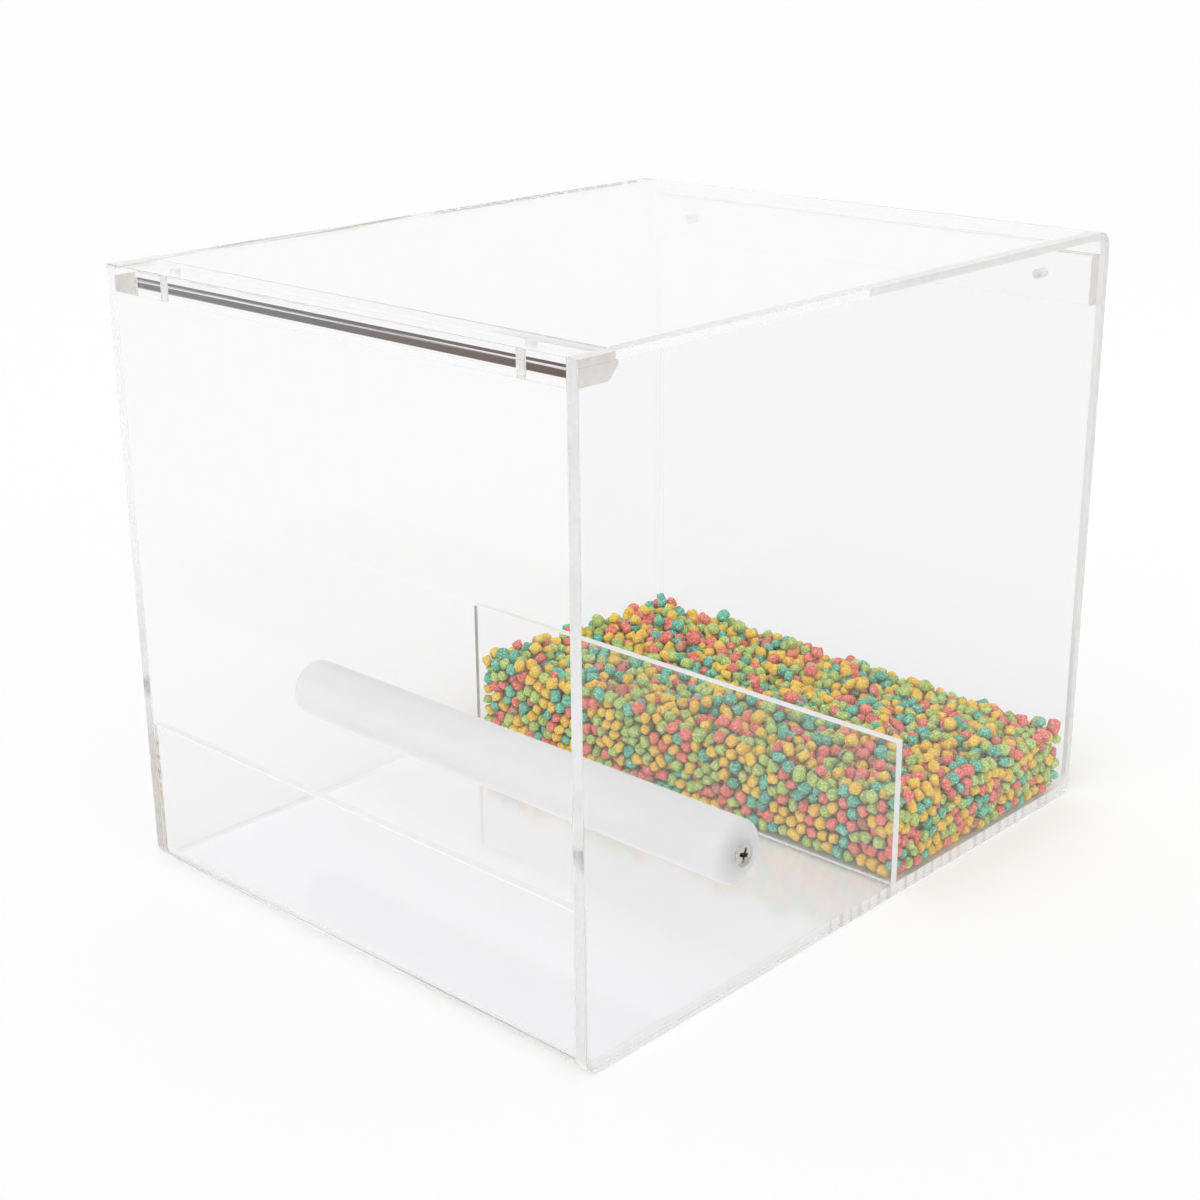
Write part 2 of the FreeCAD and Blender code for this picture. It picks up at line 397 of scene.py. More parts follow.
# Bent sheet: one closed section, lip to floor to back to top, carried across the box.
# Its left end is glued all round. On the right the glue took only along the top; elsewhere the joint is dry,
# and along the floor it is flecked.
wrapSheet = {"thickness": 3.0, "bend": 5.5, "lip": 50.0, "edge": 0.25, "gluedEdge": 0.06, "arcSteps": 16,
             "joint": {"topFront": -109.5, "topBack": -4.0, "backFoot": 6.0},
             "flecks": {"first": 117.0, "last": -20.0, "pitch": 5.0, "length": 3.6, "drift": 0.4,
                        "driftRate": 2.4, "swing": 0.5, "swingRate": 1.7, "lipEnd": -119.0}}


# Flecks along the floor's right end, from the back: start and length swing a little from one to the next
def fleckSteps():
    flecks = wrapSheet["flecks"]
    count = np.arange(int((flecks["first"] - flecks["last"]) / flecks["pitch"]))
    starts = flecks["first"] - flecks["pitch"] * count + flecks["drift"] * np.sin(flecks["driftRate"] * count)
    ends = starts - flecks["length"] + flecks["swing"] * np.sin(flecks["swingRate"] * count)
    return np.append(np.stack([starts, ends], 1).ravel(), flecks["lipEnd"])


def buildWrap():
    front, back, bottom, top = sectionOf("wrap_sheet")
    thick, bend, lip = wrapSheet["thickness"], wrapSheet["bend"], wrapSheet["lip"]
    edgeRound, gluedRound, innerBend = wrapSheet["edge"], wrapSheet["gluedEdge"], bend - thick
    under, inside, above = top - thick, back - thick, bottom + thick
    joint = wrapSheet["joint"]
    loop = roundedLoop(
        [(front, lip), (front, bottom), (back, bottom), (back, top), (front, top), (front, under),
         (inside, under), (inside, above), (front + thick, above), (front + thick, lip)],
        [edgeRound, bend, bend, bend, edgeRound, gluedRound, innerBend, innerBend, innerBend, edgeRound],
        wrapSheet["arcSteps"])
    stripBack = sectionOf("front_strip")[1]
    stripFoot, stripTop = sectionOf("back_strip")[2:]
    wallFront, wallBack = sectionOf("feed_divider")[:2]
    steps = fleckSteps()
    cuts = [((joint["topFront"], top), (joint["topFront"], under)),
            ((joint["topBack"], top), (joint["topBack"], under)),
            ((back, joint["backFoot"]), (inside, joint["backFoot"]))]
    cuts += [((step, bottom), (step, above)) for step in steps]
    gluedEnds = [(stripBack, under), (inside, stripFoot), (inside, stripTop), (wallFront, above),
                 (wallBack, above)]
    loop = addPoints(loop, gluedEnds + [end for ends in cuts for end in ends])
    zones = [levelZone("floor", front + bend, back - bend, bottom),
             levelZone("floor", front + thick, inside, above),
             levelZone("glued", front + gluedRound, stripBack, under),
             uprightZone("glued", inside, stripFoot, stripTop),
             levelZone("glued", wallFront, wallBack, above),
             ("scraped", front, lip - edgeRound, front + thick, lip + faceSlack)]
    # a finish for each cut and for the rest: top front, top, back, foot of the back, flecks and gaps, lip
    right = ["sawnEnd", "glued", "sawn", "sanded", "scraped"]
    right += ["sawnEnd", "scraped"] * (len(steps) // 2 - 1) + ["scraped", "scraped"]
    ends = (["glued"] * len(right), right)
    return barPiece("wrapSheet", "wrap_sheet", loop, zones, ends, cuts)


# End plate: rings of points from the screw hole out to the outline, over the edge and back again.
# Each ring follows the same angles about the hole, so the faces stay flat.
endPlate = {"bend": 5.5, "edge": 0.10, "square": 0.4, "leastRound": 0.02, "arcSteps": 14, "edgeBand": 1.0,
            "head": 3.85, "headDepth": 0.35, "hole": 2.1, "cone": 2.1}


def plateOutline(low, high, inset):
    front, bottom, back, top = low[1] + inset, low[2] + inset, high[1] - inset, high[2] - inset
    bend, square = endPlate["bend"] - inset, max(endPlate["square"] - inset, endPlate["leastRound"])
    loop = roundedLoop([(front, bottom), (back, bottom), (back, top), (front, top)],
                       [bend, bend, bend, square], endPlate["arcSteps"])
    joint = wrapSheet["joint"]
    return addPoints(loop, [(back, joint["backFoot"]), (joint["topBack"], top), (joint["topFront"], top),
                            (front, wrapSheet["lip"])])


def buildPlate(side):
    node = "side_panel_" + side
    low, high = boxMm(node)
    rod = np.mean(boxMm("perch_rod"), axis=0)[1:]
    inner, outer = (low[0], high[0]) if side == "right" else (high[0], low[0])
    way = np.sign(outer - inner)
    thick, edgeRound, edgeBand = wrapSheet["thickness"], endPlate["edge"], endPlate["edgeBand"]
    rim, full, band = (plateOutline(low, high, inset) for inset in (edgeRound, 0.0, thick))
    circle = circlePoints(np.arctan2(rim[:, 1] - rod[1], rim[:, 0] - rod[0]))
    head, hole = rod + circle * endPlate["head"], rod + circle * endPlate["hole"]
    rings = [(outer, head), (outer, rim), (outer - way * edgeRound, full), (inner + way * edgeRound, full),
             (inner, rim), (inner, band), (inner, hole), (outer - way * endPlate["cone"], hole),
             (outer - way * endPlate["headDepth"], head)]
    points = np.empty((len(rings), len(rim), 3))
    points[..., 0] = np.array([x for x, loop in rings])[:, None]
    points[..., 1:] = np.array([loop for x, loop in rings])
    y, z = ((rim + band + np.roll(rim + band, -1, 0)) / 4).T
    joint = wrapSheet["joint"]
    held = (z > high[2] - thick) & (y > joint["topFront"]) & (y < joint["topBack"])
    if side == "left":
        held = (z > high[2] - thick) | (y > high[1] - thick) | (z < low[2] + thick)
        held |= (y < low[1] + thick) & (z < wrapSheet["lip"])
    edgeY, edgeZ = ((rim + np.roll(rim, -1, 0)) / 2).T
    # rings 0 to 6 are the faces and the edge; from 6 on, and back to 0, they are the screw's countersunk hole
    edgeRows, gluedRow, atHole = slice(1, 4), 4, 6
    slots = np.full((atHole, len(rim)), slotOf["clear"])
    if side == "right":  # sanded edges, polished in front and below
        slots[edgeRows] = slotOf["sanded"]
        slots[edgeRows, edgeZ < low[2] + edgeBand] = slotOf["edge"]
    slots[edgeRows, edgeY < low[1] + edgeBand] = slotOf["edge"]
    slots[gluedRow] = np.where(held, slotOf["glued"], slotOf["clear"])
    faces = ringPatch(points[:atHole + 1], slots.ravel())
    countersink = ringPatch(np.concatenate([points[atHole:], points[:1]]), slotOf["sanded"])
    mesh = newMesh("endPlate", [faces, countersink])
    return newPiece("endPlate." + side, mesh, sheetFinishes.values(), "housing", [node])


# Divider: an upright sheet with a scraped top and ends, glued to the floor
divider = {"edge": 0.3, "arcSteps": 5}


def buildDivider():
    front, back, bottom, top = sectionOf("feed_divider")
    foot, edgeRound = bottom + bondGap, divider["edge"]
    loop = roundedLoop([(front, foot), (back, foot), (back, top), (front, top)],
                       [tightRound, tightRound, edgeRound, edgeRound], divider["arcSteps"])
    zones = [levelZone("glued", front + tightRound, back - tightRound, foot),
             ("scraped", front, top - edgeRound, back, top + faceSlack)]
    ends = (["scraped"], ["scraped"])
    return barPiece("feedDivider", "feed_divider", loop, zones, ends, finishes=dustyFinishes)


# Front strip: its chamfer was scraped in two passes, so it is a wide flat that bellies out a little,
# a fine ridge, and a narrow flat. Places along it are shares of its width.
frontStrip = {"chamfer": 3.5, "edge": 0.2, "arcSteps": 5, "belly": 0.03, "ridge": 0.05, "wide": 0.65,
              "shares": (0.07, 0.16, 0.25, 0.34, 0.43, 0.52, 0.61, 0.65, 0.68, 0.70, 0.73, 0.76, 0.79),
              "ridgePlaces": (0.65, 0.68, 0.73, 0.76), "ridgeForm": (0, 0.7, 0.7, 0),
              "outward": (0.707, -0.707)}


def buildFrontStrip():
    front, back, bottom, top = sectionOf("front_strip")
    chamfer, edgeRound, wide = frontStrip["chamfer"], frontStrip["edge"], frontStrip["wide"]
    top -= bondGap
    loop = roundedLoop(
        [(front, bottom), (back - chamfer, bottom), (back, bottom + chamfer), (back, top), (front, top)],
        [edgeRound, edgeRound, edgeRound, tightRound, tightRound], frontStrip["arcSteps"])
    share = np.array(frontStrip["shares"])
    belly = 4 * frontStrip["belly"] * np.clip(share * (wide - share), 0, None) / wide ** 2
    ridge = np.interp(share, frontStrip["ridgePlaces"], frontStrip["ridgeForm"], 0, 0)
    lift = belly + frontStrip["ridge"] * ridge
    start = np.array([back - chamfer, bottom])
    scrape = start + share[:, None] * chamfer + lift[:, None] * np.array(frontStrip["outward"])
    zones = [levelZone("glued", front + tightRound, back - tightRound, top)]
    ends = (["sawnEnd"], ["sawnEnd"])
    return barPiece("frontStrip", "front_strip", addPoints(loop, scrape), zones, ends)


# Back strip: round towards the inside, glued flat to the back wall
backStrip = {"round": 1.5, "arcSteps": 8}


def buildBackStrip():
    front, back, bottom, top = sectionOf("back_strip")
    edgeRound = backStrip["round"]
    back -= bondGap
    loop = roundedLoop([(front, bottom), (back, bottom), (back, top), (front, top)],
                       [edgeRound, tightRound, tightRound, edgeRound], backStrip["arcSteps"])
    zones = [uprightZone("glued", back, bottom + tightRound, top - tightRound)]
    return barPiece("backStrip", "back_strip", loop, zones, (["glued"], ["sawnEnd"]))


# Holes: round cutters, each a circle carried along the hole's axis, taken out of a sheet.
# Their walls get the sanded finish.
holes = {"diameter": 3.2, "spacing": 150.0, "topSetback": 8.25, "backDrop": 15.75, "reach": 14.0,
         "sides": 40}


def drillHoles(piece, centres, axis):
    circle = circlePoints(aroundAngles(holes["sides"])) * holes["diameter"] / 2
    across = [other for other in range(3) if other != axis]
    patches = []
    for centre in centres:
        rows = np.empty((2, holes["sides"], 3))
        rows[..., across] = np.asarray(centre)[across] + circle
        rows[..., axis] = centre[axis] + np.array([-holes["reach"], holes["reach"]])[:, None]
        patches += [ringPatch(rows), capPatch(rows[0]), capPatch(rows[1])]
    cutterMesh = newMesh("holeCutter", patches)
    cutterMesh.materials.append(sheetFinishes["sanded"])
    cutter = bpy.data.objects.new("holeCutter", cutterMesh)
    bpy.context.scene.collection.objects.link(cutter)
    drill = piece.modifiers.new("drill", "BOOLEAN")
    drill.operation = "DIFFERENCE"
    drill.solver = "EXACT"
    drill.material_mode = "TRANSFER"
    drill.object = cutter
    made = bpy.data.meshes.new_from_object(piece.evaluated_get(bpy.context.evaluated_depsgraph_get()))
    piece.modifiers.clear()
    plain = piece.data
    piece.data = made
    made.name = plain.name + "Drilled"
    softenMesh(made, crease)
    bpy.data.objects.remove(cutter)
    bpy.data.meshes.remove(cutterMesh)
    bpy.data.meshes.remove(plain)


def drillSheets(sheet, front, back):
    low, high = boxMm("wrap_sheet")
    alongY, alongZ = 1, 2
    middles = [-holes["spacing"] / 2, holes["spacing"] / 2]
    topHoles = [(x, low[1] + holes["topSetback"], high[2]) for x in middles]
    backHoles = [(x, high[1], high[2] - holes["backDrop"]) for x in middles]
    for piece, centres, axis in ((sheet, topHoles, alongZ), (sheet, backHoles, alongY),
                                 (front, topHoles, alongZ), (back, backHoles, alongY)):
        drillHoles(piece, centres, axis)


bentSheet = buildWrap()
buildPlate("left")
buildPlate("right")
buildDivider()
drillSheets(bentSheet, buildFrontStrip(), buildBackStrip())
print("clear sheets, strips and divider built")

# Perch: one turned profile, bored at both ends for its screws
perch = {"radius": 10.0, "round": 2.0, "bore": 2.1, "boreDepth": 13.0, "arcSteps": 9, "bodyRows": 12,
         "endRows": 11, "turns": 96}


def buildRod():
    low, high = boxMm("perch_rod")
    y, z = ((low + high) / 2)[1:]
    half, radius, edgeRound = high[0], perch["radius"], perch["round"]
    arc = np.linspace(0, math.pi / 2, perch["arcSteps"])
    boreEnd = half - perch["boreDepth"]
    end = [(boreEnd, 0.0), (boreEnd, perch["bore"]), (half, perch["bore"])]
    end += list(zip(half - edgeRound + edgeRound * np.cos(arc), radius - edgeRound + edgeRound * np.sin(arc)))
    end += [(x, radius) for x in np.linspace(half - edgeRound, 0, perch["bodyRows"])[1:]]
    profile = np.array(end + [(-x, ring) for x, ring in end[-2::-1]])
    points = turnedPoints(profile[:, :1], profile[:, 1:], aroundAngles(perch["turns"]), y, z)
    slots = np.zeros((len(profile) - 1, perch["turns"]), int)
    slots[:perch["endRows"]] = 1  # the second of the rod's finishes
    slots[-perch["endRows"]:] = 1
    mesh = newMesh("perchRod", [ringPatch(points, slots.ravel())])
    return newPiece("perchRod", mesh, rodFinishes, "perch", ["perch_rod"])


# Screw: a flat head with a tapered cross sunk into it, a cone, and a thread.
# Cross depth is the larger of its two arms, each a ramp across its width times a ramp at its ends.
# Thread radius is the core plus a wave that climbs one pitch in a turn.
screw = {"head": 3.75, "headRim": 0.3, "headSunk": 0.06, "rimDrop": 0.05, "rimPower": 6, "coneDepth": 2.0,
         "core": 1.55, "thread": 0.40, "pitch": 1.4, "length": 16.0, "threadStart": 0.1, "threadEnd": 1.6,
         "threadRows": 90, "tip": ((0.9, 0.9), (0.1, 0.0)), "armSpan": 4.6, "armWidth": 1.0, "armSlope": 0.22,
         "armTaper": 0.9, "crossDepth": 1.7, "crossRings": (0.72, 19), "rimRings": (0.8, 0.9, 0.96, 1.0),
         "turns": 120, "turn": {"right": 68.0, "left": 20.0}, "crease": 40}


def crossArm(along, across):
    width = np.clip((screw["armWidth"] / 2 - abs(across)) / screw["armSlope"] + 0.5, 0, 1)
    return width * np.clip((screw["armSpan"] / 2 - abs(along)) / screw["armTaper"], 0, 1)


def buildScrew(side):
    node = "perch_screw_" + side
    low, high = boxMm(node)
    y, z = ((low + high) / 2)[1:]
    face, way = (high[0], -1) if side == "right" else (low[0], 1)
    turns, length = screw["turns"], screw["length"]
    angle = aroundAngles(turns)
    share = np.concatenate([np.linspace(0, *screw["crossRings"]), screw["rimRings"]])
    ring = share[:, None] * screw["head"]
    spin = math.radians(screw["turn"][side])
    along, across = ring * np.cos(angle - spin), ring * np.sin(angle - spin)
    cross = screw["crossDepth"] * np.maximum(crossArm(along, across), crossArm(across, along))
    depth = cross + screw["headSunk"] + screw["rimDrop"] * (ring / screw["head"]) ** screw["rimPower"]
    head = turnedPoints(face + way * depth, ring, angle, y, z)
    begin, stop = screw["coneDepth"] + screw["threadStart"], length - screw["threadEnd"]
    run = np.linspace(begin, stop, screw["threadRows"])
    wave = 0.5 + 0.5 * np.cos(angle - fullTurn * run[:, None] / screw["pitch"])
    thread = screw["core"] + screw["thread"] * wave ** 2
    cone = np.array([[screw["headRim"], screw["head"]], [screw["coneDepth"], screw["core"]]])
    tip = np.array([[length - back, radius] for back, radius in screw["tip"]])
    depths = np.concatenate([cone[:, 0], run, tip[:, 0]])
    radii = np.concatenate([np.repeat(cone[:, 1:], turns, 1), thread, np.repeat(tip[:, 1:], turns, 1)])
    shank = turnedPoints((face + way * depths)[:, None], radii, angle, y, z)
    slots = np.zeros((len(head) + len(shank) - 1, turns), int)
    # faces deep in the cross take the second finish, painted dark as painted shade
    slots[:len(head) - 1] = (depth[1:] + depth[:-1]) / 2 > screw["crossDepth"] / 3
    mesh = newMesh("perchScrew", [ringPatch(np.concatenate([head, shank]), slots.ravel())])
    name = "perchScrew." + side
    return newPiece(name, mesh, screwFinishes, "perch", [node], screw["crease"])


buildRod()
buildScrew("left")
buildScrew("right")
print("perch and screws built")

# Feed: short rough barrels, settled by pushing neighbours apart while they sink between the walls
feed = {
    "seed": 11, "count": 6750, "loose": 90, "radius": (1.62, 2.36), "length": (2.9, 4.9), "gap": 0.3,
    "clear": 0.02, "crease": 75, "far": 1e3,
    "heap": {"frontLeft": 36.0, "frontRight": 32.5, "backLeft": 32.0, "backRight": 27.0, "crown": 1.5,
             "uneven": 1.2, "waves": (9.0, 7.5), "waveShifts": (1.3, 0.4), "slant": 0.7,
             "slantWaves": (4.7, 6.1)},
    "settle": {"steps": 170, "reach": 2.27, "renew": 4, "spare": 1.2, "push": 0.32, "sink": 0.06,
               "lengthHold": 0.95, "radiusHold": 0.97, "margin": 4.0, "nest": 0.5},
    "barrel": {"profile": ((0.64, 1.0), (0.94, 0.80), (1.0, 0.0), (0.94, -0.80), (0.64, -1.0)),
               "segments": 10, "rough": 0.042, "shear": 0.10},
    "skin": {"scales": (1500, 260), "shine": 0.25, "pits": (0.50, 0.38), "specks": (0.52, 0.62),
             "roughness": (0.78, 0.95), "bump": (0.9, 0.28), "tone": (3.0, 1.2), "paintedShadeTone": 0.22},
    # the skin's last entry sets how dark the painted shade between pellets gets, and shade the distances over
    # which it fades
    "shade": {"near": 8.5, "touch": 1.75, "open": 1.4},
    "colours": {
        "Coral": {"share": 0.23, "main": (255, 134, 116), "dull": (222, 100, 87), "pale": (255, 186, 170)},
        "Amber": {"share": 0.29, "main": (255, 216, 72), "dull": (234, 176, 46), "pale": (255, 236, 142)},
        "Leaf": {"share": 0.27, "main": (196, 222, 120), "dull": (152, 176, 83), "pale": (224, 240, 166)},
        "Teal": {"share": 0.18, "main": (116, 210, 178), "dull": (77, 159, 134), "pale": (172, 232, 206)},
        "Umber": {"share": 0.03, "main": (214, 150, 118), "dull": (172, 116, 92), "pale": (230, 184, 158)},
    },
}


# Height of the heap: level between its four corners, a crown over the middle, and slow waves
def heapTop(x, y, low, high):
    heap = feed["heap"]
    across = (x - low[0]) / (high[0] - low[0])
    along = (y - low[1]) / (high[1] - low[1])
    front = heap["frontLeft"] * (1 - across) + heap["frontRight"] * across
    back = heap["backLeft"] * (1 - across) + heap["backRight"] * across
    level = front * (1 - along) + back * along
    crown = heap["crown"] * np.sin(math.pi * across) * np.sin(math.pi * along)
    (xWave, yWave), (xShift, yShift), (xSlant, ySlant) = heap["waves"], heap["waveShifts"], heap["slantWaves"]
    waves = np.sin(x / xWave + xShift) * np.sin(y / yWave + yShift)
    waves = waves + heap["slant"] * np.sin(x / xSlant + y / ySlant)
    return level + crown + heap["uneven"] * waves


def turnMatrices(rng, count):  # even random turns, from unit quaternions
    spin = rng.normal(size=(count, 4))
    w, x, y, z = (spin / np.linalg.norm(spin, axis=1)[:, None]).T
    return np.stack([np.stack([1 - 2 * (y * y + z * z), 2 * (x * y - z * w), 2 * (x * z + y * w)], -1),
                     np.stack([2 * (x * y + z * w), 1 - 2 * (x * x + z * z), 2 * (y * z - x * w)], -1),
                     np.stack([2 * (x * z - y * w), 2 * (y * z + x * w), 1 - 2 * (x * x + y * y)], -1)], 1)


# Every pair closer than reach: sorted along x, each is set against those that follow within reach
def nearPairs(place, reach):
    order = np.argsort(place[:, 0])
    line = place[order]
    follow = np.searchsorted(line[:, 0], line[:, 0] + reach) - np.arange(len(line)) - 1
    one = np.repeat(np.arange(len(line)), follow)
    other = np.arange(len(one)) - np.repeat(np.cumsum(follow) - follow, follow) + one + 1
    near = ((line[one] - line[other]) ** 2).sum(1) < reach * reach
    return order[one[near]], order[other[near]]


def settleFeed(rng, low, high, half):
    settle, count = feed["settle"], len(half)
    place = rng.uniform(low, high, (count, 3)).astype(np.float32)
    share = (place[:, 2] - low[2]) / (high[2] - low[2])
    place[:, 2] = low[2] + share * (heapTop(place[:, 0], place[:, 1], low, high) - low[2])
    span = 2 * settle["reach"]
    for step in range(settle["steps"]):
        if step % settle["renew"] == 0:
            one, other = nearPairs(place, span + settle["spare"])
        gap = place[one] - place[other]
        apart = np.sqrt((gap ** 2).sum(1)) + 1e-6
        push = gap * (settle["push"] * np.clip(span - apart, 0, None) / apart)[:, None]
        for axis in range(3):
            shove = push[:, axis]
            place[:, axis] += np.bincount(one, shove, count) - np.bincount(other, shove, count)
        place[:, 2] -= settle["sink"] * (1 - step / settle["steps"])
        place[:, :2] = np.clip(place[:, :2], low[:2] + half[:, :2], high[:2] - half[:, :2])
        lid = heapTop(place[:, 0], place[:, 1], low, high) - half[:, 2]
        place[:, 2] = np.clip(np.minimum(place[:, 2], lid), low[2] + half[:, 2], None)
    return place


# Loose ones on top: each rests on the highest of its neighbours
def looseFeed(rng, low, high, place):
    settle = feed["settle"]
    spot = rng.uniform(low[:2] + settle["margin"], high[:2] - settle["margin"], (feed["loose"], 2))
    across = np.linalg.norm(spot[:, None] - place[None, :, :2], axis=2)
    touch = 2 * settle["reach"]
    lift = np.sqrt(np.clip(touch ** 2 - across ** 2, 0, None))
    rest = np.where(across < touch, place[None, :, 2] + lift, -1).max(1)
    return np.column_stack([spot, rest - settle["nest"]])


# Barrel: rings of (radius, height) shares turned about z, with a flat face on each end
def barrelShape():
    profile, segments = np.array(feed["barrel"]["profile"]), feed["barrel"]["segments"]
    angle = aroundAngles(segments)
    points = np.stack([profile[:, :1] * np.cos(angle), profile[:, :1] * np.sin(angle),
                       np.repeat(profile[:, 1:], segments, 1)], -1)
    shape, blocks = ringPatch(points)[:2]
    ends = np.stack([np.arange(segments), len(shape) - 1 - np.arange(segments)])
    return shape, blocks[0], ends


def readAttribute(tree, name):
    node = tree.nodes.new("ShaderNodeAttribute")
    node.attribute_name = name
    return node.outputs["Fac"]


def feedFinish(name, colour):
    skin = feed["skin"]
    main, dull, pale = (srgb(*colour[tone]) for tone in ("main", "dull", "pale"))
    finish, tree, shader = newFinish("feed" + name, {"Specular IOR Level": skin["shine"]})
    grain, patches = addNoises(tree, skin["scales"])
    body = mixColours(tree, readAttribute(tree, "tone"), dull, main)
    pitted = mixColours(tree, mapValue(tree, grain, skin["pits"]), body, dull)
    speckled = mixColours(tree, mapValue(tree, grain, skin["specks"]), pitted, pale)
    # painted shade between pellets: a point close to a neighbour goes down to the dull tone darkened to the
    # painted shade tone
    paintedShadeTone = tuple(skin["paintedShadeTone"] * level for level in dull)
    setColour(tree, shader, readAttribute(tree, "freeOfPaintedShade"), paintedShadeTone, speckled)
    setRoughness(tree, shader, patches, noises["grainSpan"], skin["roughness"])
    addBump(tree, shader, grain, skin["bump"])
    return finish


# The space that the feed lies in: between the plates, the divider and the back wall, up to the divider's top
def feedRoom():
    wall, sheet = boxMm("feed_divider"), boxMm("wrap_sheet")
    left, right = boxMm("side_panel_left")[1][0], boxMm("side_panel_right")[0][0]
    low = np.array([left + feed["gap"], wall[1][1] + feed["gap"], wall[0][2]])
    high = np.array([right - feed["gap"], sheet[1][1] - wrapSheet["thickness"] - feed["gap"], wall[1][2]])
    return low, high


# How open each point of each piece lies, for the painted shade between pellets: its least distance to the
# middles of the neighbours, less the radius of a piece, as a share of the distance at which it counts as
# free.
def paintedShadeOpenness(points, place):
    shade = feed["shade"]
    one, other = nearPairs(place, shade["near"])
    one, other = np.concatenate([one, other]), np.concatenate([other, one])
    order = np.argsort(one, kind="stable")
    one, other = one[order], other[order]
    away = np.sqrt(((points[one] - place[other][:, None]) ** 2).sum(-1))
    nearest = np.full(points.shape[:2], feed["far"])
    met, starts = np.unique(one, return_index=True)
    nearest[met] = np.minimum.reduceat(away, starts, axis=0)
    share = np.clip((nearest - shade["touch"]) / shade["open"], 0, 1)
    return share * share * (3 - 2 * share)


def setAttribute(mesh, name, values):
    mesh.attributes.new(name, "FLOAT", "POINT").data.foreach_set("value", values)


def buildFeed():
    rng = np.random.default_rng(feed["seed"])
    settle, barrel, colours = feed["settle"], feed["barrel"], feed["colours"]
    low, high = feedRoom()
    total = feed["count"] + feed["loose"]
    radius = rng.uniform(*feed["radius"], total)
    height = rng.uniform(*feed["length"], total) / 2
    turns = turnMatrices(rng, total)
    axis = abs(turns[:, :, 2])
    half = axis * (height * settle["lengthHold"])[:, None]
    half += np.sqrt(1 - axis ** 2) * (radius * settle["radiusHold"])[:, None]
    place = settleFeed(rng, low, high, half[:feed["count"]])
    place = np.concatenate([place, looseFeed(rng, low, high, place)])
    shape, quads, ends = barrelShape()
    points = shape[None] * np.stack([radius, radius, height], -1)[:, None]
    points *= 1 + rng.normal(0, barrel["rough"], points.shape[:2])[..., None]
    points[..., 0] += rng.normal(0, barrel["shear"], (total, 1)) * points[..., 2]  # sheared a little
    points = np.einsum("nij,nmj->nmi", turns, points) + place[:, None]
    ceiling = np.array([high[0] - feed["clear"], high[1] - feed["clear"], feed["far"]])
    points = np.clip(points, low + feed["clear"], ceiling)
    # how free of painted shade each point is, from how close it lies to its neighbours
    freeOfPaintedShade = paintedShadeOpenness(points.astype(np.float32), place.astype(np.float32))
    shares = np.array([colour["share"] for colour in colours.values()])
    kind = rng.choice(len(shares), total, p=shares / shares.sum())
    tone = rng.beta(*feed["skin"]["tone"], total)
    for index, (name, colour) in enumerate(colours.items()):
        chosen = np.flatnonzero(kind == index)
        offset = (np.arange(len(chosen)) * len(shape))[:, None, None]
        faces = (quads + offset).reshape(-1, 4).tolist()
        faces += (ends + offset).reshape(-1, barrel["segments"]).tolist()
        mesh = bpy.data.meshes.new("feed" + name)
        mesh.from_pydata((points[chosen].reshape(-1, 3) * mm).tolist(), [], faces)
        setAttribute(mesh, "tone", np.repeat(tone[chosen], len(shape)))
        setAttribute(mesh, "freeOfPaintedShade", freeOfPaintedShade[chosen].ravel())
        finishes = [feedFinish(name, colour)]
        newPiece("feed" + name, mesh, finishes, "housing", ["feed_pellets"], feed["crease"])
        print("feed", name, len(chosen), "pellets")


buildFeed()

# Floor: a wide disc, rings by angles, whose tone shifts a little far out: near the box it is a touch lighter,
# painted light that lifts the shade under and beside the box
floor = {"first": 100.0, "radius": 9000.0, "rings": 24, "turns": 96, "drop": 0.3, "near": 0.99, "far": 0.98,
         "fade": (0.3, 1.6), "roughness": 0.9}


def buildFloor():
    ring = np.concatenate([[0.0], np.geomspace(floor["first"], floor["radius"], floor["rings"])])[:, None]
    angle = aroundAngles(floor["turns"])
    points = np.stack(np.broadcast_arrays(ring * np.cos(angle), ring * np.sin(angle), -floor["drop"]), -1)
    mesh = newMesh("studioFloor", [ringPatch(points)])
    finish, tree, shader = newFinish("paperFloor", {
        "Roughness": floor["roughness"], "Specular IOR Level": 0.0})
    place = tree.nodes.new("ShaderNodeTexCoord")
    reach = tree.nodes.new("ShaderNodeVectorMath")
    reach.operation = "LENGTH"
    tree.links.new(place.outputs["Object"], reach.inputs[0])
    far = mapValue(tree, reach.outputs["Value"], floor["fade"])
    # lighter near the middle than far out: painted light against the box's shade
    setColour(tree, shader, far, (floor["near"],) * 3, (floor["far"],) * 3)
    mesh.materials.append(finish)
    disc = bpy.data.objects.new("studioFloor", mesh)
    bpy.context.scene.collection.objects.link(disc)
    if mesh.polygons[0].normal.z < 0:
        mesh.flip_normals()


buildFloor()

# Studio: a white tent, brighter overhead, with one wide soft lamp from the front right. What gleams or is
# looked through sees plain white and a dark corner of the room, high up at the front left: a product of three
# soft steps on the direction, grey at one end and brown at the other.
studio = {"overhead": 1.01, "level": 0.395, "lamp": 1.71, "lampFrom": (0.38, -0.79, 0.48),
          "lampSpread": (0.58, 0.95), "grey": (0.20, 0.20, 0.21), "brown": (0.15, 0.10, 0.08),
          "turn": (-0.80, -0.68), "left": (-0.20, -0.45), "front": (-0.10, -0.17), "high": (0.28, 0.42)}


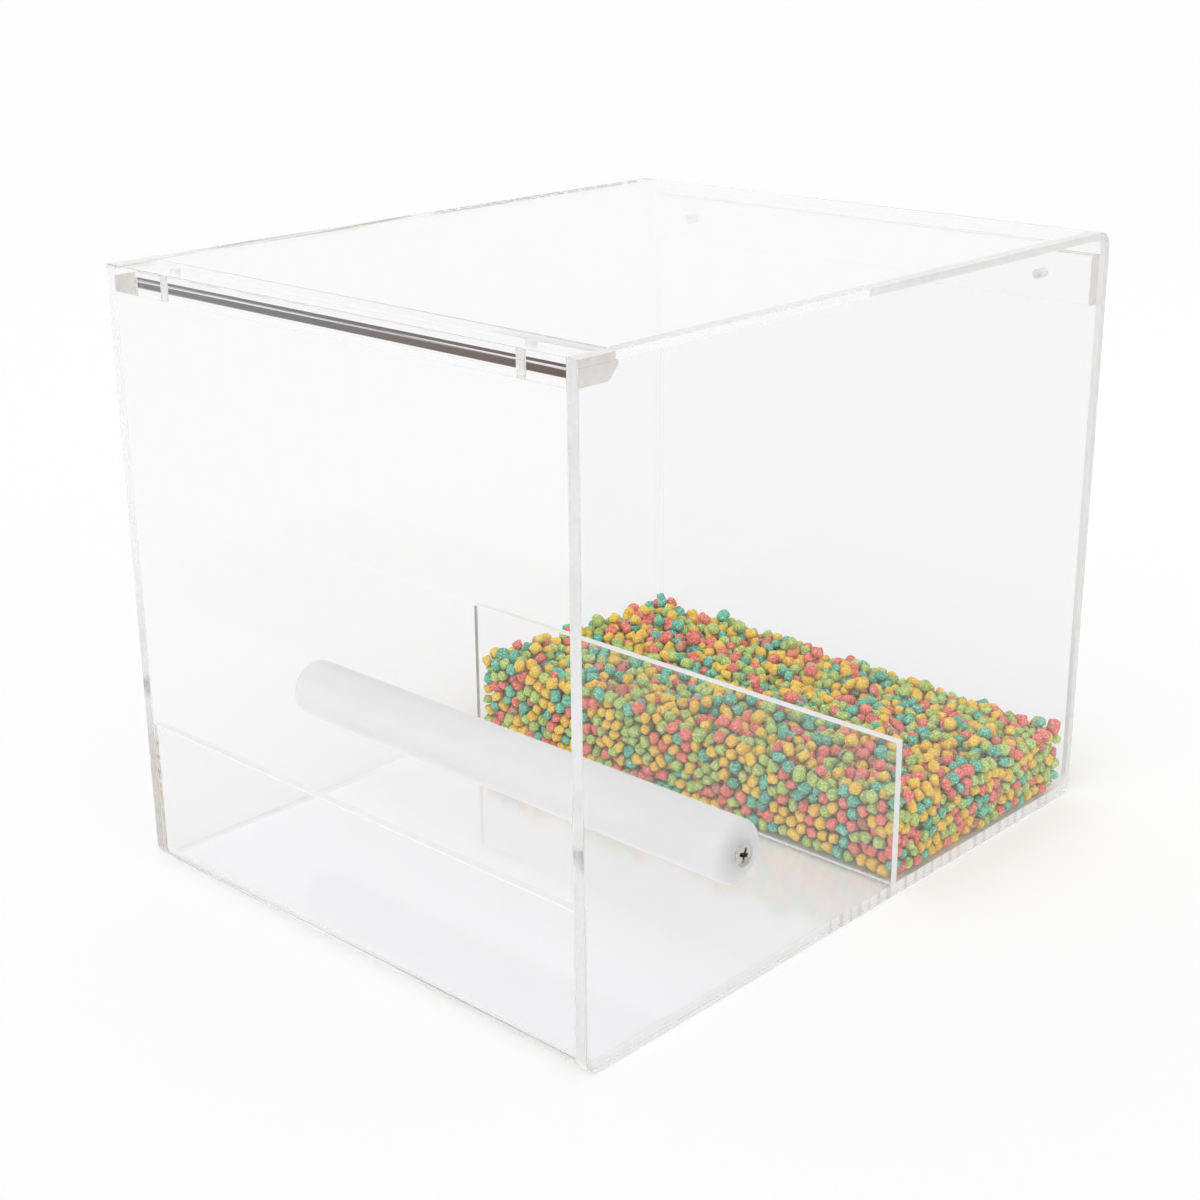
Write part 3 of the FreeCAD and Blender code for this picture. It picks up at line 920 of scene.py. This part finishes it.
def buildStudio():
    world = bpy.data.worlds.new("studioWorld")
    bpy.context.scene.world = world
    world.use_nodes = True
    tree = world.node_tree
    way = tree.nodes.new("ShaderNodeTexCoord")
    parts = tree.nodes.new("ShaderNodeSeparateXYZ")
    path = tree.nodes.new("ShaderNodeLightPath")
    tree.links.new(way.outputs["Generated"], parts.inputs[0])
    seen = joinValues(tree, "MAXIMUM", path.outputs["Is Glossy Ray"], path.outputs["Is Transmission Ray"])
    for axis, key in (("X", "left"), ("Y", "front"), ("Z", "high")):
        step = mapValue(tree, parts.outputs[axis], studio[key], smooth=True)
        seen = joinValues(tree, "MULTIPLY", seen, step)
    turn = mapValue(tree, parts.outputs["X"], studio["turn"])
    dark = mixColours(tree, turn, studio["grey"], studio["brown"])
    shown = mixColours(tree, seen, (1, 1, 1), dark)
    height = mapValue(tree, parts.outputs["Z"], (0, 1))
    tent = mixColours(tree, height, (studio["level"],) * 3, (studio["overhead"],) * 3)
    toLamp = tree.nodes.new("ShaderNodeVectorMath")
    toLamp.operation = "DOT_PRODUCT"
    toLamp.inputs[1].default_value = studio["lampFrom"]
    tree.links.new(way.outputs["Generated"], toLamp.inputs[0])
    lamp = mapValue(tree, toLamp.outputs["Value"], studio["lampSpread"], smooth=True)
    light = mixColours(tree, lamp, tent, (studio["lamp"],) * 3)
    lit = mapValue(tree, path.outputs["Diffuse Depth"], (0, 1))
    tree.links.new(mixColours(tree, lit, shown, light), tree.nodes["Background"].inputs["Color"])


buildStudio()

# Camera at the photograph's place, with its small roll
view = {"place": (430.09, -469.18, 308.40), "azimuth": 43.312, "elevation": 19.554, "roll": -0.467,
        "lens": 60.83, "sensor": 36.0, "nearest": 10.0}


def buildCamera():
    azimuth, elevation, roll = (math.radians(view[key]) for key in ("azimuth", "elevation", "roll"))
    level = math.cos(elevation)
    back = np.array([math.sin(azimuth) * level, -math.cos(azimuth) * level, math.sin(elevation)])
    right = np.array([math.cos(azimuth), math.sin(azimuth), 0])
    across = math.cos(roll) * right + math.sin(roll) * np.cross(back, right)
    rise = np.cross(back, across)
    lens = bpy.data.cameras.new("studioCamera")
    lens.lens = view["lens"]
    lens.sensor_width = view["sensor"]
    lens.clip_start = view["nearest"] * mm
    camera = bpy.data.objects.new("studioCamera", lens)
    bpy.context.scene.collection.objects.link(camera)
    turn = Matrix(np.column_stack([across, rise, back]).tolist()).to_4x4()
    camera.matrix_world = Matrix.Translation([value * mm for value in view["place"]]) @ turn
    bpy.context.scene.camera = camera


buildCamera()
scene = bpy.context.scene
scene.view_settings.view_transform = "Standard"
scene.cycles.max_bounces = 160  # light runs far inside the sheets before it leaves at an edge
scene.cycles.transmission_bounces = 64
scene.cycles.glossy_bounces = 128
scene.cycles.diffuse_bounces = 6
scene.cycles.transparent_max_bounces = 16
scene.cycles.blur_glossy = 0.0  # clear sheet stays clear for light that has met the floor
print("floor, studio and camera set")
